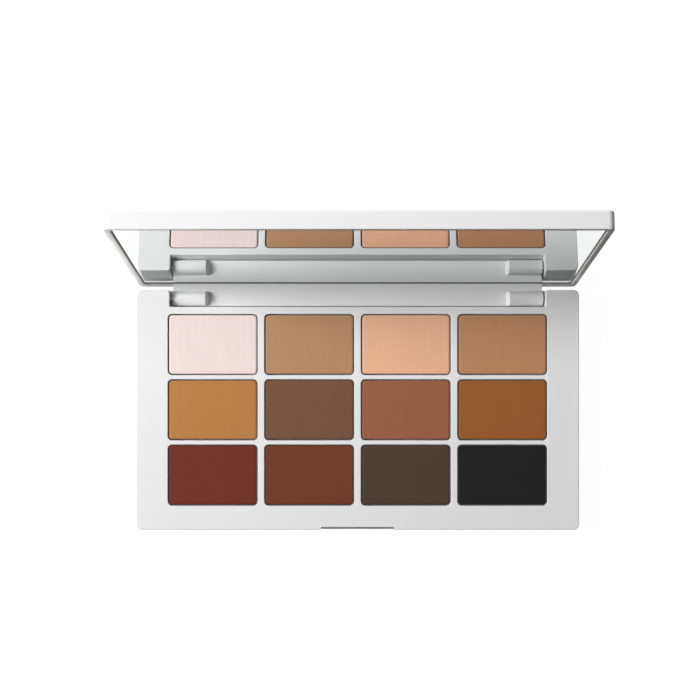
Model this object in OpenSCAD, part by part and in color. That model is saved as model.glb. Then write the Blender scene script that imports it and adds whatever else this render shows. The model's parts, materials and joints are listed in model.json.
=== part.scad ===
// Twelve-pan eyeshadow palette with a mirrored lid, standing open.
// Millimetres. The origin is the centre of the base's underside, +X is right,
// -Y is the front edge with the thumb notch, and +Z is up.

/* [Case] */
// Width of the base, left to right
case_w = 145; // [143:1:152]
// Depth of the base and of the lid, front to back
case_d = 78.5; // [78:0.5:84]
// Height of the base, underside to deck
base_h = 10.5; // [10:0.5:13]
// Radius of the upright corners of the base and lid
corner_r = 1.8; // [1.6:0.1:2.4]
// Thickness of the base's side walls
wall = 1.8; // [1.6:0.1:2]
// Thickness of the deck between the wells and the walls
deck_t = 1.6; // [1.2:0.1:2]
// Thickness of the bottom cover
cover_t = 1.5; // [1.2:0.1:1.6]

/* [Wells and pans] */
// Width of one well opening
well_w = 29.45; // [28:0.05:29.6]
// Depth of one well opening, front to back
well_d = 20.03; // [19:0.01:20.1]
// Corner radius of a well opening
well_r = 1.5; // [1:0.05:2]
// Width of the deck left between two columns of wells
divider_x = 2.17; // [1.8:0.01:2.3]
// Width of the deck left between two rows of wells
divider_y = 1.35; // [1.2:0.01:1.4]
// Gap all round a pan in its well
pan_gap = 0.28; // [0.2:0.02:0.4]
// Wall thickness of a pan
pan_wall = 0.25; // [0.25:0.05:0.4]
// Height of a pan
pan_h = 3; // [2.5:0.1:3.2]
// Depth of a pan's rim below the deck
rim_drop = 0.5; // [0.45:0.05:0.7]
// Depth of the powder's face below the deck
powder_drop = 0.3; // [0.2:0.05:0.4]

/* [Hinge] */
// Distance of the hinge axis in front of the base's back face
axis_back = 2.7; // [2.6:0.1:2.8]
// Distance of the hinge axis below the deck
axis_drop = 4.3; // [4.2:0.1:4.6]
// Radius of the lid's hinge barrel
barrel_r = 2.45; // [2.2:0.05:2.5]
// Length of the lid's hinge barrel
barrel_l = 122.1; // [118:0.1:122.4]
// Width of the hinge recess in the base's back edge
recess_w = 123.2; // [123:0.1:124]
// Depth of the hinge recess from the back face
recess_d = 5.5; // [5.4:0.05:5.8]
// Distance between the full knuckles at the barrel's ends
knuckle_span = 100.2; // [96:0.1:101]
// Diameter of the hinge pins
pin_d = 1.5; // [1.2:0.1:1.6]
// Angle of the lid when it stands fully open
open_angle = 99.6; // [95:0.1:105]

/* [Lid] */
// Width of the lid
lid_w = 145; // [143:0.1:145]
// Thickness of the lid
lid_t = 5.8; // [5.6:0.1:7]
// Gap between the closed lid's rim and the deck
lid_gap = 0.25; // [0.2:0.05:0.4]
// Width of the rim beside and in front of the mirror
rim_w = 1.9; // [1.6:0.1:2.4]
// Width of the rim on the hinge side of the mirror
rim_hinge_w = 2.7; // [2.5:0.1:2.8]
// Depth of the mirror's face below the rim
mirror_inset = 0.5; // [0.5:0.05:0.8]
// Thickness of the mirror
mirror_t = 1.5; // [1.2:0.1:1.5]
// Radius of the mirror's corners
mirror_r = 1; // [0.5:0.1:1.5]

/* [Hidden] */
$fn = 48;

// Colours of the plastic, the metal parts and the twelve powders, back row first
WHITE = "#eeeeee";
STEEL = "#b9bcc0";
ALUMINIUM = "#c9cacc";
NICKEL = "#a9abad";
TAPE = "#d8d2c0";
GLASS = "#dfe6ea";
POWDERS = [
    "#f2dedc", "#b38866", "#dca98b", "#aa7c5c",
    "#bc824b", "#795642", "#955e46", "#91592e",
    "#73352a", "#703f2e", "#4f3d36", "#222222"
];

// Cuts run this far past a face
over = 1;
sides = [-1, 1];

// Wells: four columns and three rows, numbered from the back left
columns = 4;
rows = 3;
pans = [1 : columns * rows];
pitch_x = well_w + divider_x;
pitch_y = well_d + divider_y;
pan_glue_t = 0.15;
well_floor_z = base_h - rim_drop - pan_h - pan_glue_t;
well_floor_t = 1;
block_under_z = well_floor_z - well_floor_t;
block_w = (columns - 1) * pitch_x + well_w + 2 * well_floor_t;
block_d = (rows - 1) * pitch_y + well_d + 2 * well_floor_t;
pan_w = well_w - 2 * pan_gap;
pan_d = well_d - 2 * pan_gap;
pan_r = well_r - pan_gap;
pan_floor_z = well_floor_z + pan_glue_t;
pan_floor_t = 0.35;
pan_glue_d = 14;
post_d = 4;

// Inside of the base
inner_w = case_w - 2 * wall;
inner_d = case_d - 2 * wall;
inner_r = corner_r - wall / 2;
cover_gap = 0.1;

// Hinge: the rib's back face lands on the rear edge of the recess floor
axis_y = case_d / 2 - axis_back;
axis_z = base_h - axis_drop;
lean = open_angle - 90;
rib_front = 0.6;
rib_reach = (axis_back + barrel_r * sin(lean)) / cos(lean);
stop_gap = 0.08;
recess_floor_z = axis_z - barrel_r * cos(lean) - rib_reach * sin(lean) - stop_gap;
recess_front_y = case_d / 2 - recess_d;
hinge_wall = 1.6;
back_chamfer = 0.5;

// Channel that takes the barrel down to the rib between the knuckles
channel_r = 2.8;
channel_near = -1.15;
channel_far = 1.9;
channel_slope = 1;

// Pins run from the base's side faces into blind bores in the knuckles
pin_sink = 0.3;
pin_clearance = 0.05;
bore_end_x = knuckle_span / 2 + 1.6;
pin_start_x = bore_end_x + 0.2;
pin_end_x = case_w / 2 - pin_sink;

// Lid: the relief is concentric with the hinge and clears the base's back edge
lid_face = axis_drop + lid_gap;
relief_clearance = 0.15;
relief_r = norm([axis_back - back_chamfer, axis_drop]) + relief_clearance;
mirror_gap = 0.15;
mirror_w = lid_w - 2 * (rim_w + mirror_gap);
mirror_d = case_d - rim_w - rim_hinge_w - 2 * mirror_gap;
mirror_y = (rim_w - rim_hinge_w) / 2;
tape_t = 0.15;
seat_depth = mirror_inset + mirror_t + tape_t;
lid_skin = 1.6;
pocket_depth = lid_t - seat_depth - lid_skin;
pocket_band = 6.5;
pocket_web = 2;
pocket_w = (mirror_w - 2 * pocket_band - (columns - 1) * pocket_web) / columns;
pocket_d = (mirror_d - 3 * pocket_band) / 2;
tape_w = 120;
tape_band = 5;

// Closing magnets, one pair on each side near the front edge
magnet_d = 5;
magnet_x = 50;
magnet_y = -case_d / 2 + 4.85;
base_magnet_t = 2;
base_magnet_top = base_h - 0.8;
base_magnet_boss_d = 7;
lid_magnet_t = pocket_depth;
magnet_gap = 0.05;

// Thumb notch in the front edge
notch_w = 24;
notch_set_back = 0.87;
notch_h = 3;

module rounded_rect(w, d, r) {
    square([w - 2 * r, d], center = true);
    square([w, d - 2 * r], center = true);
    for (x = sides, y = sides) {
        translate([x * (w / 2 - r), y * (d / 2 - r)]) circle(r);
    }
}

module slab(w, d, r, z0, z1) {
    translate([0, 0, z0]) linear_extrude(z1 - z0) rounded_rect(w, d, r);
}

module at_well(i) {
    column = (i - 1) % columns;
    row = floor((i - 1) / columns);
    x = (column - (columns - 1) / 2) * pitch_x;
    y = ((rows - 1) / 2 - row) * pitch_y;
    translate([x, y, 0]) children();
}

// Rod along X between two X values, at Y and Z zero
module rod_x(r, x0, x1) {
    translate([x0, 0, 0]) rotate([0, 90, 0]) cylinder(r = r, h = x1 - x0);
}

// Frame on the hinge axis, turned with the lid: Y and Z as on the closed lid
module on_hinge() {
    translate([0, axis_y, axis_z]) rotate([-open_angle, 0, 0]) children();
}

// Frame on the lid's rim plane: Z runs from the rim to the outer face
module on_lid() {
    on_hinge() translate([0, -axis_y, lid_face]) children();
}

module inside_of_base() {
    difference() {
        slab(inner_w, inner_d, inner_r, -over, base_h - deck_t);
        translate([-block_w / 2, -block_d / 2, block_under_z]) cube([block_w, block_d, base_h]);
        translate([-case_w / 2, recess_front_y - hinge_wall, cover_t])
            cube([case_w, recess_d + hinge_wall, base_h]);
        for (x = sides) {
            translate([x * magnet_x, magnet_y, block_under_z])
                cylinder(d = base_magnet_boss_d, h = base_h);
        }
    }
}

module hinge_recess() {
    translate([-recess_w / 2, recess_front_y, recess_floor_z])
        cube([recess_w, recess_d + over, base_h]);
}

module back_edge_chamfer() {
    bar = back_chamfer * sqrt(2);
    translate([0, case_d / 2, base_h]) rotate([45, 0, 0])
        cube([case_w + 2 * over, bar, bar], center = true);
}

module thumb_notch() {
    front_y = -case_d / 2;
    translate([notch_w / 2, 0, 0]) rotate([90, 0, -90]) linear_extrude(notch_w)
        polygon([
            [-front_y + over, base_h - notch_h],
            [-front_y, base_h - notch_h],
            [-front_y - notch_set_back, base_h],
            [-front_y - notch_set_back, base_h + over],
            [-front_y + over, base_h + over]
        ]);
}

module base_deck() {
    color(WHITE) difference() {
        slab(case_w, case_d, corner_r, 0, base_h);
        inside_of_base();
        for (i = pans) {
            at_well(i) slab(well_w, well_d, well_r, well_floor_z, base_h + over);
        }
        hinge_recess();
        back_edge_chamfer();
        thumb_notch();
        for (x = sides) {
            translate([x * magnet_x, magnet_y, 0])
                cylinder(d = magnet_d + 2 * magnet_gap, h = base_magnet_top);
        }
        translate([0, axis_y, axis_z]) rod_x(pin_d / 2, -case_w / 2 - over, case_w / 2 + over);
    }
}

module base_bottom() {
    color(WHITE) {
        slab(inner_w - 2 * cover_gap, inner_d - 2 * cover_gap, inner_r - cover_gap, 0, cover_t);
        for (column = [-1, 0, 1], row = [-0.5, 0.5]) {
            translate([column * pitch_x, row * pitch_y, 0]) cylinder(d = post_d, h = block_under_z);
        }
    }
}

module pan(i) {
    color(ALUMINIUM) at_well(i) difference() {
        slab(pan_w, pan_d, pan_r, pan_floor_z, pan_floor_z + pan_h);
        slab(pan_w - 2 * pan_wall, pan_d - 2 * pan_wall, pan_r - pan_wall,
            pan_floor_z + pan_floor_t, base_h);
    }
}

module powder(i) {
    color(POWDERS[i - 1]) at_well(i)
        slab(pan_w - 2 * pan_wall, pan_d - 2 * pan_wall, pan_r - pan_wall,
            pan_floor_z + pan_floor_t, base_h - powder_drop);
}

module pan_adhesive() {
    color(TAPE) for (i = pans) {
        at_well(i) translate([0, 0, well_floor_z]) cylinder(d = pan_glue_d, h = pan_glue_t);
    }
}

module base_magnet(side) {
    color(NICKEL) translate([side * magnet_x, magnet_y, base_magnet_top - base_magnet_t])
        cylinder(d = magnet_d, h = base_magnet_t);
}

module hinge_pin(side) {
    x0 = side > 0 ? pin_start_x : -pin_end_x;
    x1 = side > 0 ? pin_end_x : -pin_start_x;
    color(STEEL) translate([0, axis_y, axis_z]) rod_x(pin_d / 2, x0, x1);
}

// Plate of the lid with its rim, the mirror's seat and the pockets behind the mirror
module lid_plate() {
    difference() {
        on_lid() difference() {
            slab(lid_w, case_d, corner_r, 0, lid_t);
            translate([0, mirror_y, 0])
                slab(mirror_w + 2 * mirror_gap, mirror_d + 2 * mirror_gap, mirror_r + mirror_gap,
                    -over, seat_depth);
            for (column = [0 : columns - 1], row = sides) {
                translate([(column - (columns - 1) / 2) * (pocket_w + pocket_web),
                    mirror_y + row * (pocket_d + pocket_band) / 2, 0])
                    slab(pocket_w, pocket_d, 1, seat_depth - over, seat_depth + pocket_depth);
            }
            for (x = sides) {
                translate([x * magnet_x, magnet_y, seat_depth - over])
                    cylinder(d = magnet_d + 2 * magnet_gap, h = lid_magnet_t + over);
            }
        }
        on_hinge() rod_x(relief_r, -lid_w / 2 - over, lid_w / 2 + over);
    }
}

// Barrel and the rib that joins it to the lid's rim
module hinge_leaf() {
    on_hinge() {
        rod_x(barrel_r, -barrel_l / 2, barrel_l / 2);
        translate([-barrel_l / 2, rib_front, 0])
            cube([barrel_l, barrel_r - rib_front, lid_face + mirror_inset]);
    }
}

// Channel that is flush with the rib, curves up to the barrel's front edge and has sloping ends
module barrel_channel() {
    half = knuckle_span / 2;
    reach = 2 * channel_r;
    on_hinge() intersection() {
        hull() {
            for (z = [channel_near, channel_far]) {
                translate([0, rib_front - channel_r, z]) rod_x(channel_r, -half, half);
            }
        }
        linear_extrude(2 * reach, center = true)
            polygon([
                [-half, -reach], [-half, -barrel_r], [-half + channel_slope, rib_front],
                [half - channel_slope, rib_front], [half, -barrel_r], [half, -reach]
            ]);
    }
}

module lid_shell() {
    color(WHITE) difference() {
        union() {
            lid_plate();
            hinge_leaf();
        }
        barrel_channel();
        for (x = sides) {
            on_hinge() translate([x * (bore_end_x + barrel_l) / 2, 0, 0])
                rod_x(pin_d / 2 + pin_clearance, (bore_end_x - barrel_l) / 2, (barrel_l - bore_end_x) / 2);
        }
    }
}

module mirror_glass() {
    color(GLASS) on_lid() translate([0, mirror_y, 0])
        slab(mirror_w, mirror_d, mirror_r, mirror_inset, mirror_inset + mirror_t);
}

module mirror_adhesive() {
    color(TAPE) on_lid() for (row = [-1, 0, 1]) {
        translate([-tape_w / 2,
            mirror_y + row * (pocket_d + pocket_band) - tape_band / 2, seat_depth - tape_t])
            cube([tape_w, tape_band, tape_t]);
    }
}

module lid_magnet(side) {
    color(NICKEL) on_lid() translate([side * magnet_x, magnet_y, seat_depth])
        cylinder(d = magnet_d, h = lid_magnet_t);
}

base_deck();
base_bottom();
for (i = pans) {
    pan(i);
    powder(i);
}
pan_adhesive();
base_magnet(-1);  // base_magnet_left
base_magnet(1);  // base_magnet_right
hinge_pin(-1);  // hinge_pin_left
hinge_pin(1);  // hinge_pin_right
lid_shell();
mirror_glass();  // mirror
mirror_adhesive();
lid_magnet(-1);  // lid_magnet_left
lid_magnet(1);  // lid_magnet_right
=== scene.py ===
# The looks of a twelve-pan eyeshadow palette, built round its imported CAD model.
import json
import math

import bmesh
import bpy
from mathutils import Matrix, Vector, noise


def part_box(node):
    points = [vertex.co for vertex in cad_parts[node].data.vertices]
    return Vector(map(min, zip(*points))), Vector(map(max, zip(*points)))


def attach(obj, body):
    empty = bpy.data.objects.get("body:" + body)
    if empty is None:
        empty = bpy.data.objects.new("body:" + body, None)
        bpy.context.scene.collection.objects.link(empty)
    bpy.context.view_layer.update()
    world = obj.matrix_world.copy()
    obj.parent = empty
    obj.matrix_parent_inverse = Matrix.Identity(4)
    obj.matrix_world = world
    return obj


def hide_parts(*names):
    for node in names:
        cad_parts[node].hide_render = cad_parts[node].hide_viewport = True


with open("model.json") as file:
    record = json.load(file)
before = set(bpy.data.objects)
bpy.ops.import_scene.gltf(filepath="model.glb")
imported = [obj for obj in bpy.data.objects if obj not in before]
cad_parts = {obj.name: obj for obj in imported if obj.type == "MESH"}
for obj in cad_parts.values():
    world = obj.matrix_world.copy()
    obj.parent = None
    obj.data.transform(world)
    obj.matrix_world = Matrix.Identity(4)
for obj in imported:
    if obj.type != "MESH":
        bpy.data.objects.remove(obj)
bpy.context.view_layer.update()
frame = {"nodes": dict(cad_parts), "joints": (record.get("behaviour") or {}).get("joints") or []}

# Lengths are in millimetres until a piece is finished
MM = 0.001

# How far a cutter reaches past the surface that it cuts
PAST = 2

# ---------------------------------------------------------------- sizes from the frame

def box_mm(node):
    """Lowest and highest corner of a CAD node, in millimetres."""
    low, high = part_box(node)
    return low / MM, high / MM


DECK_LOW, DECK_HIGH = box_mm("base_deck")
CASE_W = DECK_HIGH.x - DECK_LOW.x
CASE_D = DECK_HIGH.y - DECK_LOW.y
DECK_Z = DECK_HIGH.z
# Corner radius of the base and the lid, seen from above
CORNER_R = 1.8

HINGE = frame["joints"][0]
AXIS = Vector(HINGE["pos_m"]) / MM
OPEN_ANGLE = math.radians(HINGE["range_deg"][1])

PANS = range(1, 13)
# Gap between a pan and its well, the pan's wall, and the well's corner radius
PAN_GAP = 0.28
PAN_WALL = 0.13
WELL_R = 1.5
POWDER_Z = box_mm("powder_1")[1].z
RIM_Z = box_mm("pan_1")[1].z

COVER_LOW, COVER_HIGH = box_mm("base_bottom")
COVER_T = 1.5
# From the base's side to the rebate for its bottom cover
WALL = 1.8

LID_W = box_mm("lid_shell")[1].x - box_mm("lid_shell")[0].x
LID_T = 5.8
# Between the closed lid and the deck
LID_GAP = 0.25
# From the hinge axis up to the closed lid's rim
LID_FACE = DECK_Z - AXIS.z + LID_GAP
# Width of the rim on three sides, and on the hinge side
RIM_W = 1.9
RIM_HINGE_W = 2.7
# Depths below the rim: the glass's front face, and the silvered face set deeper, so that the dark
# sloped band between them reads as a painted shadow gap
MIRROR_INSET = 0.5
SILVER_DEPTH = 0.72
MIRROR_T = 1.5
MIRROR_GAP = 0.15
MIRROR_R = 1.0
MIRROR_W = LID_W - 2 * (RIM_W + MIRROR_GAP)
MIRROR_D = CASE_D - RIM_W - RIM_HINGE_W - 2 * MIRROR_GAP
MIRROR_Y = (RIM_W - RIM_HINGE_W) / 2
TAPE_T = 0.15
SEAT_DEPTH = MIRROR_INSET + MIRROR_T + TAPE_T
# Radius of the groove in the rim, round the hinge axis
RELIEF_R = 4.98

BARREL_R = 2.45
BARREL_L = 122.1
# Where each full knuckle starts, from the middle
KNUCKLE_X = 50.1
RECESS_W = 123.2
RECESS_D = 5.5
# The recess's floor lies just below the open lid's rib, which leans back past upright
LEAN = OPEN_ANGLE - math.pi / 2
RIB_REACH = (CASE_D / 2 - AXIS.y + BARREL_R * math.sin(LEAN)) / math.cos(LEAN)
RIB_GAP = 0.08
RECESS_FLOOR_Z = AXIS.z - BARREL_R * math.cos(LEAN) - RIB_REACH * math.sin(LEAN) - RIB_GAP
PIN_R = 0.75

# ---------------------------------------------------------------- mesh building

# Steps in each corner of an outline, and the least radius a corner shrinks to
ARC = 8
LEAST_R = 0.06


def rounded_rect(w, d, r, cx=0.0, cy=0.0, inset=0.0, stops=()):
    """Counter-clockwise rounded rectangle. stops are distances before the +Y end of each
    straight side where a further point lies."""
    w, d, r = w - 2 * inset, d - 2 * inset, max(r - inset, LEAST_R)
    corners = ((1, -1), (1, 1), (-1, 1), (-1, -1))
    side_end = cy + d / 2 - r
    points = []
    for k, (sx, sy) in enumerate(corners):
        for i in range(ARC + 1):
            a = math.radians(90 * (k - 1) + 90 * i / ARC)
            x = cx + sx * (w / 2 - r) + r * math.cos(a)
            y = cy + sy * (d / 2 - r) + r * math.sin(a)
            points.append((x, y))
        if k == 0:
            points += [(cx + w / 2, side_end - s) for s in sorted(stops, reverse=True)]
        if k == 2:
            points += [(cx - w / 2, side_end - s) for s in sorted(stops)]
    return points


def at_z(points, z):
    """A flat outline at one height, or at a height worked out for each point."""
    return [(x, y, z(x, y) if callable(z) else z) for x, y in points]


def quarter(r, steps):
    """Pairs of inset and drop along a quarter-round edge, from the side face to the top face."""
    angles = [math.pi / 2 * i / steps for i in range(steps + 1)]
    return [(r * (1 - math.cos(a)), r * (1 - math.sin(a))) for a in angles]


def ring(bm, points):
    """Vertices at the points."""
    return [bm.verts.new(p) for p in points]


def bridge(bm, a, b):
    """Band of faces between two rings of vertices."""
    for i in range(len(a)):
        j = (i + 1) % len(a)
        bm.faces.new((a[i], a[j], b[j], b[i]))


def loft(bm, rings, close_first=True, close_last=True):
    """Closed skin through rings of equally many points. Returns its rings of vertices."""
    made = [ring(bm, r) for r in rings]
    for a, b in zip(made, made[1:]):
        bridge(bm, a, b)
    if close_first:
        bm.faces.new(made[0][::-1])
    if close_last:
        bm.faces.new(made[-1])
    return made


def loop_edges(bm, vertices):
    """Edges of a closed ring of vertices."""
    return [bm.edges.get((vertices[i - 1], vertices[i])) for i in range(len(vertices))]


def fill_between(bm, rings):
    """Flat face with holes: the first ring is its edge, and the others are its holes."""
    edges = [e for r in rings for e in loop_edges(bm, r)]
    bmesh.ops.triangle_fill(bm, use_beauty=True, use_dissolve=False, edges=edges)


def add_object(name, data):
    made = bpy.data.objects.new(name, data)
    bpy.context.scene.collection.objects.link(made)
    return made


def mesh_of(name, bm):
    """Mesh of a bmesh, which is used up."""
    mesh = bpy.data.meshes.new(name)
    bm.to_mesh(mesh)
    bm.free()
    return mesh


def temporary(bm):
    """Solid that takes part in a boolean and is deleted after it."""
    bmesh.ops.recalc_face_normals(bm, faces=bm.faces)
    return add_object("cutter", mesh_of("cutter", bm))


def boolean(bm, others, operation):
    """bm with each of the other solids cut from it or joined to it."""
    weld, sliver = 0.002, 0.0005
    host = temporary(bm)
    tools = [temporary(other) for other in others]
    for tool in tools:
        modifier = host.modifiers.new("boolean", "BOOLEAN")
        modifier.operation = operation
        modifier.solver = "EXACT"
        modifier.object = tool
    graph = bpy.context.evaluated_depsgraph_get()
    result = bpy.data.meshes.new_from_object(host.evaluated_get(graph))
    made = bmesh.new()
    made.from_mesh(result)
    for old in [host, *tools]:
        data = old.data
        bpy.data.objects.remove(old)
        bpy.data.meshes.remove(data)
    bpy.data.meshes.remove(result)
    bmesh.ops.remove_doubles(made, verts=made.verts, dist=weld)
    bmesh.ops.dissolve_degenerate(made, edges=made.edges, dist=sliver)
    return made


def rod(r, x0, x1, y, z, steps=32):
    """Solid rod along X."""
    bm = bmesh.new()
    turns = [2 * math.pi * i / steps for i in range(steps)]
    section = [(y + r * math.cos(a), z + r * math.sin(a)) for a in turns]
    loft(bm, [[(x, *p) for p in section] for x in (x0, x1)])
    return bm


def piece(name, bm, body, nodes, materials, hard=40):
    """Object made from a bmesh in millimetres: rides on a body and stands for CAD nodes.
    hard is the angle from which an edge stays sharp, in degrees."""
    bm.transform(Matrix.Scale(MM, 4))
    bmesh.ops.recalc_face_normals(bm, faces=bm.faces)
    for face in bm.faces:
        face.smooth = True
    for edge in bm.edges:
        if len(edge.link_faces) == 2 and edge.calc_face_angle(0) > math.radians(hard):
            edge.smooth = False
    mesh = mesh_of(name, bm)
    for material in materials:
        mesh.materials.append(material)
    made = add_object(name, mesh)
    shading = made.modifiers.new("flat faces stay flat", "WEIGHTED_NORMAL")
    shading.keep_sharp = True
    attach(made, body)
    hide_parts(*nodes)
    return made

# ---------------------------------------------------------------- materials

# Most values of a noise node lie between these
NOISE_LOW, NOISE_HIGH = 0.3, 0.7


def new_material(name):
    """Material with its shader and its noise coordinates, which stay with the object."""
    material = bpy.data.materials.new(name)
    material.use_nodes = True
    tree = material.node_tree
    shader = tree.nodes["Principled BSDF"]
    place = tree.nodes.new("ShaderNodeTexCoord")
    return material, tree, shader, place.outputs["Object"]


def noise_node(tree, place, scale, stretch=(1, 1, 1), detail=2.0, distortion=0.0):
    """Noise with its features about 1/scale metres apart, stretched along each axis."""
    mapping = tree.nodes.new("ShaderNodeMapping")
    mapping.inputs["Scale"].default_value = [scale / s for s in stretch]
    tree.links.new(place, mapping.inputs["Vector"])
    made = tree.nodes.new("ShaderNodeTexNoise")
    made.inputs["Scale"].default_value = 1.0
    made.inputs["Detail"].default_value = detail
    made.inputs["Distortion"].default_value = distortion
    tree.links.new(mapping.outputs["Vector"], made.inputs["Vector"])
    return made.outputs["Fac"]


def ramp_node(tree, value, low, high, start=NOISE_LOW, end=NOISE_HIGH):
    """Colour that runs from low to high as a noise value goes from start to end."""
    made = tree.nodes.new("ShaderNodeValToRGB")
    made.color_ramp.elements[0].position = start
    made.color_ramp.elements[0].color = (*low, 1)
    made.color_ramp.elements[1].position = end
    made.color_ramp.elements[1].color = (*high, 1)
    tree.links.new(value, made.inputs["Fac"])
    return made.outputs["Color"]


def range_node(tree, value, low, high):
    """Number that runs from low to high with a noise value."""
    made = tree.nodes.new("ShaderNodeMapRange")
    made.inputs["From Min"].default_value = NOISE_LOW
    made.inputs["From Max"].default_value = NOISE_HIGH
    made.inputs["To Min"].default_value = low
    made.inputs["To Max"].default_value = high
    tree.links.new(value, made.inputs["Value"])
    return made.outputs["Result"]


def bump_node(tree, height, distance, below=None):
    """Relief of a height in metres, laid over the relief below it."""
    made = tree.nodes.new("ShaderNodeBump")
    made.inputs["Strength"].default_value = 1.0
    made.inputs["Distance"].default_value = distance
    tree.links.new(height, made.inputs["Height"])
    if below is not None:
        tree.links.new(below, made.inputs["Normal"])
    return made.outputs["Normal"]


def linear(rgb):
    """Linear colour of an 8-bit display colour."""
    shares = [c / 255 for c in rgb]
    return [c / 12.92 if c <= 0.04045 else ((c + 0.055) / 1.055) ** 2.4 for c in shares]


def scaled(colour, share):
    """Colour made lighter or darker, no lighter than white."""
    return [min(c * share, 1.0) for c in colour]


def moulded_plastic(name, rgb, roughness, grain):
    """Moulded satin plastic: faint flow marks in its colour and a fine grain in its surface."""
    material, tree, shader, place = new_material(name)
    shader.inputs["Specular IOR Level"].default_value = 0.05
    colour = linear(rgb)
    flow = noise_node(tree, place, 40, stretch=(2, 1, 1), detail=3)
    tint = ramp_node(tree, flow, scaled(colour, 0.99), scaled(colour, 1.005))
    tree.links.new(tint, shader.inputs["Base Color"])
    wear = noise_node(tree, place, 180, detail=4)
    rough = range_node(tree, wear, roughness - 0.03, roughness + 0.04)
    tree.links.new(rough, shader.inputs["Roughness"])
    skin = noise_node(tree, place, 5000, detail=2)
    wave = noise_node(tree, place, 120, detail=1)
    waves = bump_node(tree, wave, 0.000003)
    normal = bump_node(tree, skin, grain, below=waves)
    tree.links.new(normal, shader.inputs["Normal"])
    return material


def pressed_powder(name, rgb, streak_seed):
    """Pressed powder: fine brushed streaks, pigment specks and a dusty, dull surface."""
    material, tree, shader, place = new_material(name)
    colour = linear(rgb)
    offset = tree.nodes.new("ShaderNodeVectorMath")
    offset.operation = "ADD"
    offset.inputs[1].default_value = (streak_seed, streak_seed * 0.37, 0)
    tree.links.new(place, offset.inputs[0])
    moved = offset.outputs["Vector"]
    streak = noise_node(tree, moved, 2200, stretch=(1, 24, 1), detail=2, distortion=0.3)
    patch = noise_node(tree, moved, 160, stretch=(1, 2.5, 1), detail=3)
    speck = noise_node(tree, moved, 9000, detail=2)
    base = ramp_node(tree, streak, scaled(colour, 0.975), scaled(colour, 1.025))
    broad = ramp_node(tree, patch, (0.965, 0.965, 0.965), (1.0, 1.0, 1.0))
    fine = ramp_node(tree, speck, (0.93, 0.93, 0.93), (1.0, 1.0, 1.0), 0.35, 0.5)
    joined = base
    for layer in (broad, fine):
        mix = tree.nodes.new("ShaderNodeMix")
        mix.data_type = "RGBA"
        mix.blend_type = "MULTIPLY"
        mix.inputs["Factor"].default_value = 1.0
        tree.links.new(joined, mix.inputs["A"])
        tree.links.new(layer, mix.inputs["B"])
        joined = mix.outputs["Result"]
    tree.links.new(joined, shader.inputs["Base Color"])
    shader.inputs["Roughness"].default_value = 0.85
    shader.inputs["Specular IOR Level"].default_value = 0.15
    lines = bump_node(tree, streak, 0.000008)
    normal = bump_node(tree, speck, 0.000015, below=lines)
    tree.links.new(normal, shader.inputs["Normal"])
    return material


def metal(name, rgb, roughness, scale, stretch):
    """Metal with fine drawn or ground lines."""
    material, tree, shader, place = new_material(name)
    colour = linear(rgb)
    lines = noise_node(tree, place, scale, stretch=stretch, detail=3)
    tint = ramp_node(tree, lines, scaled(colour, 0.9), scaled(colour, 1.05))
    tree.links.new(tint, shader.inputs["Base Color"])
    rough = range_node(tree, lines, roughness - 0.06, roughness + 0.08)
    tree.links.new(rough, shader.inputs["Roughness"])
    shader.inputs["Metallic"].default_value = 1.0
    tree.links.new(bump_node(tree, lines, 0.00001), shader.inputs["Normal"])
    return material


def silvered_glass():
    """The mirror's face: silver, with the faintest haze."""
    material, tree, shader, place = new_material("mirror_face")
    haze = noise_node(tree, place, 60, detail=3)
    tint = ramp_node(tree, haze, linear((238, 240, 240)), linear((242, 244, 244)))
    tree.links.new(tint, shader.inputs["Base Color"])
    rough = range_node(tree, haze, 0.0, 0.012)
    tree.links.new(rough, shader.inputs["Roughness"])
    shader.inputs["Metallic"].default_value = 1.0
    return material


def glass_edge_and_shadow_gap():
    """The mirror's ground edge: dark grey-green glass, also laid on the sloped band round the
    silvered face as a painted shadow gap.
    """
    material, tree, shader, place = new_material("mirror_edge_and_painted_shadow_gap")
    grind = noise_node(tree, place, 2500, detail=3)
    tint = ramp_node(tree, grind, linear((16, 18, 18)), linear((30, 34, 33)))
    tree.links.new(tint, shader.inputs["Base Color"])
    shader.inputs["Roughness"].default_value = 0.35
    tree.links.new(bump_node(tree, grind, 0.00002), shader.inputs["Normal"])
    return material


def soft_tape():
    """Adhesive: cream, with a slightly uneven surface."""
    material, tree, shader, place = new_material("adhesive")
    uneven = noise_node(tree, place, 900, detail=3)
    tint = ramp_node(tree, uneven, linear((205, 196, 172)), linear((226, 219, 199)))
    tree.links.new(tint, shader.inputs["Base Color"])
    shader.inputs["Roughness"].default_value = 0.55
    tree.links.new(bump_node(tree, uneven, 0.00005), shader.inputs["Normal"])
    return material


# Powder colours, back row first, each row from left to right
POWDER_COLOURS = [
    (249, 229, 226), (190, 145, 109), (246, 190, 156), (197, 144, 106),
    (193, 132, 75), (125, 88, 67), (162, 101, 74), (161, 98, 48),
    (117, 50, 37), (117, 64, 43), (83, 63, 54), (28, 28, 28),
]

WHITE_PLASTIC = moulded_plastic("white_plastic", (240, 240, 240), 0.42, 0.000004)
COVER_PLASTIC = moulded_plastic("cover_plastic", (232, 232, 232), 0.5, 0.00002)
# Pan metal: much darker than aluminium's own tone, as painted shade for the gap round each cake,
# where the pans' rims show
PAN_METAL_WITH_GAP_SHADE = metal("pan_metal", (104, 101, 98), 0.4, 3000, (1, 1, 30))
PIN_STEEL = metal("pin_steel", (190, 192, 196), 0.25, 4000, (20, 1, 1))
NICKEL = metal("magnet_nickel", (180, 180, 178), 0.35, 1500, (1, 1, 1))
MIRROR_FACE = silvered_glass()
MIRROR_EDGE_AND_SHADOW_GAP = glass_edge_and_shadow_gap()
ADHESIVE = soft_tape()

# ---------------------------------------------------------------- base

def pan_box(i):
    """Centre and size of a pan."""
    low, high = box_mm(f"pan_{i}")
    return (low + high) / 2, high - low


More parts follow.
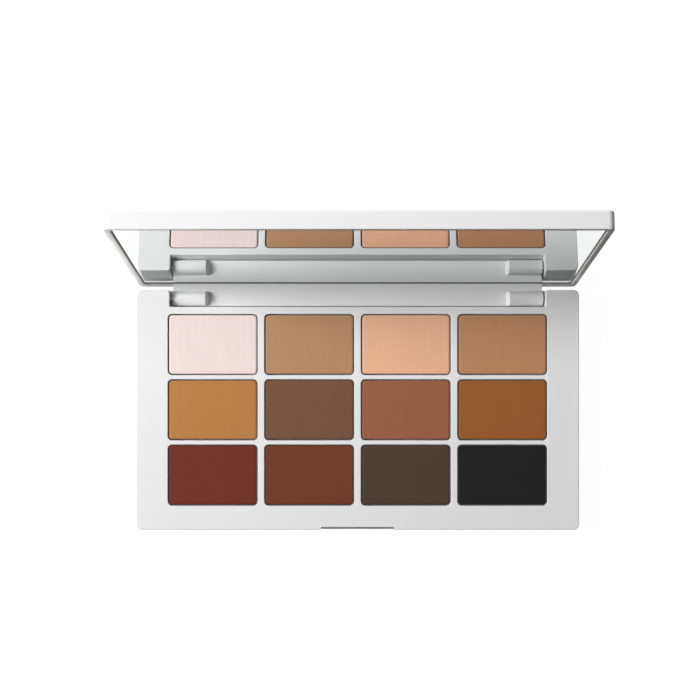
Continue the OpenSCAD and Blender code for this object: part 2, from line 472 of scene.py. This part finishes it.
def recess_cutter():
    """Hinge recess: round inner corners, a mouth that flares to the back face and an eased
    top edge. skim keeps the cutter's steps off the deck's own plane."""
    ease, mouth, inner, skim = 0.3, 0.8, 0.4, 0.004
    back, front = CASE_D / 2, CASE_D / 2 - RECESS_D
    half = RECESS_W / 2

    def section(grow):
        h, f = half + grow, front - grow
        right = [(h - inner + inner * math.sin(a), f + inner - inner * math.cos(a))
                 for a in (math.pi / 2 * i / 4 for i in range(5))]
        right += [(h + mouth - mouth * math.cos(a), back - mouth + mouth * math.sin(a))
                  for a in (math.radians(14 * i) for i in range(7))]
        right.append((right[-1][0] + 0.3, back + PAST))
        left = [(-x, y) for x, y in reversed(right)]
        return right + left

    bm = bmesh.new()
    rings = [at_z(section(0), RECESS_FLOOR_Z)]
    rings += [at_z(section(inset), DECK_Z - drop) for inset, drop in quarter(ease, 4)[:-1]]
    rings += [at_z(section(ease), DECK_Z - skim), at_z(section(ease), DECK_Z + PAST)]
    loft(bm, rings)
    return bm


def notch_cutter():
    """Thumb notch: a wedge that leans in towards the deck, with an eased lip."""
    half, set_back, height, ease, skim = 12.0, 0.9, 2.4, 0.05, 0.002
    front, past, drop = -CASE_D / 2, 1, 0.3
    back = front + set_back
    side = [(front - past, DECK_Z - height - drop), (front, DECK_Z - height),
            (back, DECK_Z - ease), (back + ease, DECK_Z + skim),
            (back + ease, DECK_Z + past), (front - past, DECK_Z + past)]
    bm = bmesh.new()
    loft(bm, [[(x, y, z) for y, z in side] for x in (-half, half)])
    return bm


def build_deck():
    """Upper shell of the base: eased edges, twelve wells with rolled lips, and the rebate
    for the bottom cover."""
    top_ease, foot_ease, lip = 0.3, 0.4, 0.18
    rebate_r, lead_in, glue_t, bore_depth = 0.9, 0.15, 0.15, 15
    outer = lambda inset: rounded_rect(CASE_W, CASE_D, CORNER_R, inset=inset)
    rebate_w, rebate_d = CASE_W - 2 * WALL, CASE_D - 2 * WALL
    rebate = lambda grow: rounded_rect(rebate_w, rebate_d, rebate_r, inset=-grow)
    bm = bmesh.new()
    rings = [at_z(rebate(0), COVER_T), at_z(rebate(0), lead_in), at_z(rebate(lead_in), 0)]
    rings += [at_z(outer(inset), drop) for inset, drop in reversed(quarter(foot_ease, 4))]
    rings += [at_z(outer(inset), DECK_Z - drop) for inset, drop in quarter(top_ease, 5)]
    made = loft(bm, rings, close_last=False)
    lips = []
    for i in PANS:
        centre, size = pan_box(i)
        well = lambda grow: rounded_rect(size.x + 2 * PAN_GAP, size.y + 2 * PAN_GAP, WELL_R,
                                         centre.x, centre.y, inset=-grow)
        floor_z = box_mm(f"pan_{i}")[0].z - glue_t
        rings = [at_z(well(0), floor_z)]
        rings += [at_z(well(inset), DECK_Z - drop) for inset, drop in quarter(lip, 5)]
        lips.append(loft(bm, rings, close_last=False)[-1])
    fill_between(bm, [made[-1], *lips])
    bmesh.ops.recalc_face_normals(bm, faces=bm.faces)
    bores = [rod(PIN_R, face - bore_depth, face + bore_depth, AXIS.y, AXIS.z)
             for face in (-CASE_W / 2, CASE_W / 2)]
    bm = boolean(bm, [recess_cutter(), notch_cutter(), *bores], "DIFFERENCE")
    return piece("palette_base", bm, "base", ["base_deck"], [WHITE_PLASTIC])


def build_cover():
    """Bottom cover, flush in its rebate with a fine gap round it."""
    size = COVER_HIGH - COVER_LOW
    ease, corner = 0.15, 0.8
    edge = lambda inset: rounded_rect(size.x, size.y, corner, inset=inset)
    bm = bmesh.new()
    rings = [at_z(edge(inset), drop) for inset, drop in reversed(quarter(ease, 3))]
    rings.append(at_z(edge(0), COVER_T))
    loft(bm, rings)
    return piece("bottom_cover", bm, "base", ["base_bottom"], [COVER_PLASTIC])


def build_pan(i):
    """Drawn aluminium pan with round foot corners and a rolled rim. Its metal is darkened far
    below aluminium's own tone, as painted shade for the gap round each cake.
    """
    centre, size = pan_box(i)
    low = box_mm(f"pan_{i}")[0].z
    foot, roll, floor_t = 0.4, PAN_WALL / 2, 0.35
    edge = lambda inset: rounded_rect(size.x, size.y, WELL_R - PAN_GAP,
                                      centre.x, centre.y, inset=inset)
    bm = bmesh.new()
    rings = [at_z(edge(inset), low + drop) for inset, drop in reversed(quarter(foot, 3))]
    turns = [math.pi * k / 6 for k in range(7)]
    rings += [at_z(edge(roll - roll * math.cos(a)), RIM_Z - roll + roll * math.sin(a))
              for a in turns]
    rings.append(at_z(edge(PAN_WALL), low + floor_t))
    loft(bm, rings)
    return piece(f"pan_shell_{i}", bm, "base", [f"pan_{i}"], [PAN_METAL_WITH_GAP_SHADE])


def build_powder(i):
    """Pressed cake: a grid in columns that follows the pan's round corners, with a bevelled
    border, a slight crown and shallow brushed streaks."""
    centre, size = pan_box(i)
    w, d = size.x - 2 * PAN_WALL, size.y - 2 * PAN_WALL
    r = WELL_R - PAN_GAP - PAN_WALL
    below_rim = 0.05
    border, drop, crown = 0.5, POWDER_Z - RIM_Z + below_rim, 0.04
    fine = [0, 0.05, 0.14, 0.26, 0.38, border, 0.62]
    column_step, row_step = 0.33, 1.1

    def positions(length, step):
        inner = length - 2 * fine[-1]
        count = round(inner / step)
        middle = [fine[-1] + inner * k / count for k in range(1, count)]
        return [p - length / 2 for p in fine + middle] + [length / 2 - p for p in reversed(fine)]

    def half_depth(x):
        past = abs(x) - (w / 2 - r)
        return d / 2 if past <= 0 else d / 2 - r + math.sqrt(max(r * r - past * past, 0))

    def edge_distance(x, y):
        ax, ay = abs(x) - (w / 2 - r), abs(y) - (d / 2 - r)
        return r - (math.hypot(max(ax, 0), max(ay, 0)) + min(max(ax, ay), 0))

    def height(x, y):
        t = min(max(edge_distance(x, y) / border, 0), 1)
        rise = math.sin(t * math.pi / 2) ** 0.8
        bow = crown * (1 - (2 * x / w) ** 2) * (1 - (2 * y / d) ** 2)
        drift = 0.5 * noise.noise(Vector((x * 0.12 + 7 * i, y * 0.16, 3.1)))
        streak = noise.noise(Vector(((x + drift) * 1.7 + 31 * i, y * 0.16, 0.7 * i)))
        soft = noise.noise(Vector((x * 0.22, y * 0.2, 11.3 * i)))
        return POWDER_Z - crown - drop * (1 - rise) + bow + t * (0.004 * streak + 0.008 * soft)

    xs = positions(w, column_step)
    shares = [2 * p / d for p in positions(d, row_step)]
    bm = bmesh.new()
    grid = []
    for x in xs:
        h = half_depth(x)
        grid.append([bm.verts.new((x, s * h, height(x, s * h))) for s in shares])
    for a, b in zip(grid, grid[1:]):
        for k in range(len(shares) - 1):
            bm.faces.new((a[k], b[k], b[k + 1], a[k + 1]))
    front = [column[0] for column in grid]
    back = [column[-1] for column in grid]
    rim = front + grid[-1][1:-1] + back[::-1] + grid[0][1:-1][::-1]
    foot_z = box_mm(f"powder_{i}")[0].z
    foot = ring(bm, [(v.co.x, v.co.y, foot_z) for v in rim])
    bridge(bm, foot, rim)
    bm.faces.new(foot[::-1])
    bm.transform(Matrix.Translation((centre.x, centre.y, 0)))
    material = pressed_powder(f"powder_{i}_cake", POWDER_COLOURS[i - 1], i * 0.913)
    return piece(f"powder_cake_{i}", bm, "base", [f"powder_{i}"], [material],
                 hard=60)

# ---------------------------------------------------------------- lid

LID_TO_REST = (Matrix.Translation(AXIS) @ Matrix.Rotation(-OPEN_ANGLE, 4, "X")
               @ Matrix.Translation((0, -AXIS.y, LID_FACE)))


def relief(y):
    """How deep the groove for the base's back edge lies below the rim, at a closed-lid Y."""
    across = RELIEF_R ** 2 - (y - AXIS.y) ** 2
    return max(math.sqrt(max(across, 0)) - LID_FACE, 0)


def lid_plate():
    """Plate with a soft outer edge, the rim with its groove, and the mirror's seat."""
    face_ease, rim_ease, chamfer, calm, stop_step = 0.8, 0.25, 0.3, 1.2, 0.3
    stops = [stop_step * k for k in range(1, 9)]
    outer = lambda inset: rounded_rect(LID_W, CASE_D, CORNER_R, inset=inset, stops=stops)
    seat = lambda grow: rounded_rect(MIRROR_W + 2 * MIRROR_GAP, MIRROR_D + 2 * MIRROR_GAP,
                                     MIRROR_R + MIRROR_GAP, 0, MIRROR_Y, inset=-grow, stops=stops)
    dip = lambda v: (lambda x, y: v + relief(y) * max(1 - v / calm, 0))
    bm = bmesh.new()
    rings = [at_z(seat(0), SEAT_DEPTH), at_z(seat(0), dip(chamfer)), at_z(seat(chamfer), dip(0))]
    inner_edge, outer_edge = seat(chamfer), outer(rim_ease)
    across = 8
    for k in range(1, across):
        t = k / across
        strip = [(a[0] + (b[0] - a[0]) * t, a[1] + (b[1] - a[1]) * t)
                 for a, b in zip(inner_edge, outer_edge)]
        rings.append(at_z(strip, dip(0)))
    rings += [at_z(outer(inset), dip(drop)) for inset, drop in reversed(quarter(rim_ease, 4))]
    rings.append(at_z(outer(0), calm))
    rings += [at_z(outer(inset), LID_T - drop) for inset, drop in quarter(face_ease, 6)]
    loft(bm, rings)
    bm.transform(LID_TO_REST)
    return bm


def opened(point):
    """Hinge-frame point of the closed lid, turned with the open lid."""
    dy, dz = point
    c, s = math.cos(OPEN_ANGLE), math.sin(OPEN_ANGLE)
    return (dy * c + dz * s, -dy * s + dz * c)


def closed(point):
    """The reverse of opened."""
    y, z = point
    c, s = math.cos(OPEN_ANGLE), math.sin(OPEN_ANGLE)
    return (y * c - z * s, y * s + z * c)


def arc(centre, r, start, end, steps):
    """Points round a centre from one angle to another, both included, in degrees."""
    angles = [math.radians(start + (end - start) * k / steps) for k in range(steps + 1)]
    return [(centre[0] + r * math.cos(a), centre[1] + r * math.sin(a)) for a in angles]


def angle_to(a, b):
    """Direction from one point to another, in degrees."""
    return math.degrees(math.atan2(b[1] - a[1], b[0] - a[0]))


def leaf_profiles():
    """Section of the hinge leaf at a knuckle and between the knuckles, on the closed lid.
    Between them the barrel is cut down to the rib and curves up to a thin front lip."""
    reach, rib, fillet, lip_z = LID_FACE + MIRROR_INSET, 0.6, 0.25, 0.1
    lip_turn = 180 - math.degrees(math.asin(lip_z / BARREL_R)) + math.degrees(OPEN_ANGLE)
    centre = (rib - fillet, math.sqrt((BARREL_R + fillet) ** 2 - (rib - fillet) ** 2))
    top = [(rib, reach + (centre[1] - reach) * k / 4) for k in range(4)]
    cove = arc(centre, fillet, 0, angle_to(centre, (0, 0)), 5)
    round_part = arc((0, 0), BARREL_R, angle_to((0, 0), centre), lip_turn, 24)[1:]
    knuckle = top + cove + round_part

    step, least, scoop_r, scoop_z = 0.03, 0.03, 2.8, -1.15
    scoop = opened((rib + step - scoop_r, scoop_z))
    tangent_y = opened((rib + step, scoop_z))[0]
    c, s = math.cos(OPEN_ANGLE), math.sin(OPEN_ANGLE)

    def floor(y):
        if y > tangent_y:
            return (y * c - rib - step) / s
        return scoop[1] - math.sqrt(scoop_r ** 2 - (y - scoop[0]) ** 2)

    across = [opened(p)[0] for p in knuckle]
    for k in range(len(across) - 2, -1, -1):
        across[k] = max(across[k], across[k + 1] + least)
    middle = [closed((y, floor(y))) for y in across[:-1]] + [knuckle[-1]]

    rest = arc((0, 0), BARREL_R, lip_turn, 360, 12)[1:]
    rest += [(BARREL_R, reach * k / 4) for k in range(1, 5)]
    return knuckle + rest, middle + rest, len(knuckle)


def inset_profile(points, amount):
    """Closed outline moved inwards by an amount."""
    area = sum(a[0] * b[1] - b[0] * a[1] for a, b in zip(points, points[1:] + points[:1]))
    side = 1 if area > 0 else -1
    moved = []
    for i, p in enumerate(points):
        a, b = points[i - 1], points[(i + 1) % len(points)]
        into = Vector((p[0] - a[0], p[1] - a[1])).normalized()
        out = Vector((b[0] - p[0], b[1] - p[1])).normalized()
        normal = Vector((-(into.y + out.y), into.x + out.x)).normalized() * side
        moved.append((p[0] + normal.x * amount, p[1] + normal.y * amount))
    return moved


def hinge_leaf():
    """Barrel and rib: full knuckles at the ends and a scooped middle between sloping end walls."""
    knuckle, middle, varied = leaf_profiles()
    ease, slope, step = 0.25, 0.9, 0.1
    gaps = [math.dist(a, b) for a, b in zip(knuckle, middle)]
    deepest = max(gaps)
    runs = [step + slope * g / deepest if k < varied else 1.5 * step for k, g in enumerate(gaps)]
    ends = [KNUCKLE_X - run for run in runs]
    half = BARREL_L / 2
    sections = [(inset_profile(knuckle, ease), [-half] * len(knuckle)),
                (inset_profile(knuckle, ease * 0.3), [-half + ease * 0.3] * len(knuckle)),
                (knuckle, [-half + ease] * len(knuckle)),
                (knuckle, [-KNUCKLE_X] * len(knuckle)),
                (middle, [-x for x in ends])]
    sections += [(profile, [-x for x in xs]) for profile, xs in reversed(sections)]
    rings = []
    for profile, xs in sections:
        turned = [opened(p) for p in profile]
        rings.append([(x, AXIS.y + y, AXIS.z + z) for x, (y, z) in zip(xs, turned)])
    bm = bmesh.new()
    loft(bm, rings)
    bmesh.ops.recalc_face_normals(bm, faces=bm.faces)
    return bm


def build_lid():
    """Lid shell: the plate and the hinge leaf in one moulding, with a blind bore for each pin."""
    running_fit, blind_end = 0.05, 1.6
    bore_r, bore_end = PIN_R + running_fit, KNUCKLE_X + blind_end
    bores = [rod(bore_r, side * bore_end, side * (BARREL_L / 2 + PAST), AXIS.y, AXIS.z)
             for side in (-1, 1)]
    leaf = boolean(hinge_leaf(), bores, "DIFFERENCE")
    bm = boolean(lid_plate(), [leaf], "UNION")
    return piece("palette_lid", bm, "lid", ["lid_shell"], [WHITE_PLASTIC])


def build_mirror():
    """Mirror plate. Its silvered face lies a little behind the glass's front edge. A dark sloped
    band between them frames it: a painted shadow gap, in the colour of the glass's dark ground
    edge, which also covers the glass's real sides."""
    margin, painted_gap_band, ease = 0.06, 0.1, 0.04
    edge = lambda inset: rounded_rect(MIRROR_W, MIRROR_D, MIRROR_R, 0, MIRROR_Y, inset=inset)
    back = MIRROR_INSET + MIRROR_T
    bm = bmesh.new()
    rings = [at_z(edge(margin + painted_gap_band), SILVER_DEPTH), at_z(edge(margin), MIRROR_INSET),
             at_z(edge(ease), MIRROR_INSET), at_z(edge(0), MIRROR_INSET + ease),
             at_z(edge(0), back - ease), at_z(edge(ease), back)]
    loft(bm, rings)
    # Every four-sided face takes the dark edge colour: the sloped band round the silvered face,
    # which is a painted shadow gap, and the glass's own narrow front margin, chamfers and sides
    for face in bm.faces:
        face.material_index = 0 if len(face.verts) > 4 else 1
    bm.transform(LID_TO_REST)
    return piece("mirror_glass", bm, "lid", ["mirror"],
                 [MIRROR_FACE, MIRROR_EDGE_AND_SHADOW_GAP], hard=20)

# ---------------------------------------------------------------- stage

def build_floor():
    """Pale floor, a fine paper-like sheet far wider than the palette. It glows to stay white
    round the object, but gives its matt surfaces no light."""
    material, tree, shader, place = new_material("floor")
    fibre = noise_node(tree, place, 30, detail=4)
    tint = ramp_node(tree, fibre, (0.11, 0.11, 0.11), (0.12, 0.12, 0.12))
    tree.links.new(tint, shader.inputs["Base Color"])
    shader.inputs["Roughness"].default_value = 0.9
    shader.inputs["Emission Color"].default_value = (1, 1, 1, 1)
    shader.inputs["Emission Strength"].default_value = 0.95
    half = 3.0
    mesh = bpy.data.meshes.new("floor")
    corners = [(-half, -half, 0), (half, -half, 0), (half, half, 0), (-half, half, 0)]
    mesh.from_pydata(corners, [], [(0, 1, 2, 3)])
    mesh.materials.append(material)
    made = add_object("floor", mesh)
    made.visible_diffuse = False


def area_light(name, place, target, size, power, spread=180):
    """Soft light aimed at a target. size is its width and height, and spread its opening
    angle in degrees."""
    light = bpy.data.lights.new(name, "AREA")
    light.shape = "RECTANGLE"
    light.size, light.size_y = size
    light.energy = power
    light.spread = math.radians(spread)
    made = add_object(name, light)
    made.location = place
    made.rotation_euler = (Vector(target) - Vector(place)).to_track_quat("-Z", "Y").to_euler()


def build_lights():
    """Soft key and fill from the left, a panel above and behind, a narrow beam along the lid's
    left rim, a low light on the lid's outer face, and low strips for the sides that face
    forwards and right. Places and sizes are in metres, powers in watts."""
    centre = (0, 0.01, 0.02)
    area_light("left_key", (-0.65, 0.14, 0.62), centre, (0.35, 0.35), 7.5)
    area_light("left_fill", (-0.85, 0.05, 0.45), centre, (0.5, 0.5), 2.1)
    area_light("back_panel", (0, 0.35, 0.9), centre, (0.3, 0.3), 1.3)
    area_light("rim_light", (-0.35, -0.5, 0.09), (-0.095, 0.045, 0.05), (0.06, 0.06), 0.018, 12)
    area_light("rear_light", (0.1, 0.8, 0.08), (0, 0.05, 0.05), (0.12, 0.12), 2.6)
    area_light("front_strip", (0, -0.25, 0.004), (0, 0, 0.002), (0.3, 0.004), 0.003, 4)
    area_light("lid_strip", (0, -0.25, 0.0165), (0, 0, 0.0155), (0.3, 0.004), 0.0012, 3)
    area_light("right_strip", (0.3, 0, 0.005), (0, 0, 0.004), (0.14, 0.004), 0.0008, 5)


def build_world():
    """White all round for the eye and for reflections. It lights no matt surface."""
    world = bpy.data.worlds.new("studio")
    bpy.context.scene.world = world
    world.use_nodes = True
    tree = world.node_tree
    background = tree.nodes["Background"]
    background.inputs["Color"].default_value = (1, 1, 1, 1)
    path = tree.nodes.new("ShaderNodeLightPath")
    no_matt_bounce = tree.nodes.new("ShaderNodeMath")
    no_matt_bounce.operation = "LESS_THAN"
    no_matt_bounce.inputs[1].default_value = 0.5
    tree.links.new(path.outputs["Diffuse Depth"], no_matt_bounce.inputs[0])
    tree.links.new(no_matt_bounce.outputs["Value"], background.inputs["Strength"])


def build_camera():
    """Straight down, a little left of the palette's middle and behind it."""
    over_deck = 0.5026
    camera = bpy.data.cameras.new("camera")
    camera.sensor_width = 36
    camera.lens = 78.95
    camera.clip_start, camera.clip_end = 0.01, 10
    made = add_object("camera", camera)
    made.location = (-0.00249, 0.0196, DECK_Z * MM + over_deck)
    bpy.context.scene.camera = made


def paint_cad(names, material):
    """Gives the CAD nodes that stay in view their finished material."""
    for name in names:
        mesh = frame["nodes"][name].data
        mesh.materials.clear()
        mesh.materials.append(material)


build_camera()
build_floor()
build_lights()
build_world()
build_deck()
build_cover()
for number in PANS:
    build_pan(number)
    build_powder(number)
build_lid()
build_mirror()
paint_cad(["hinge_pin_left", "hinge_pin_right"], PIN_STEEL)
paint_cad([f"{body}_magnet_{side}" for body in ("base", "lid") for side in ("left", "right")],
          NICKEL)
paint_cad(["pan_adhesive", "mirror_adhesive"], ADHESIVE)
bpy.context.scene.view_settings.view_transform = "Standard"
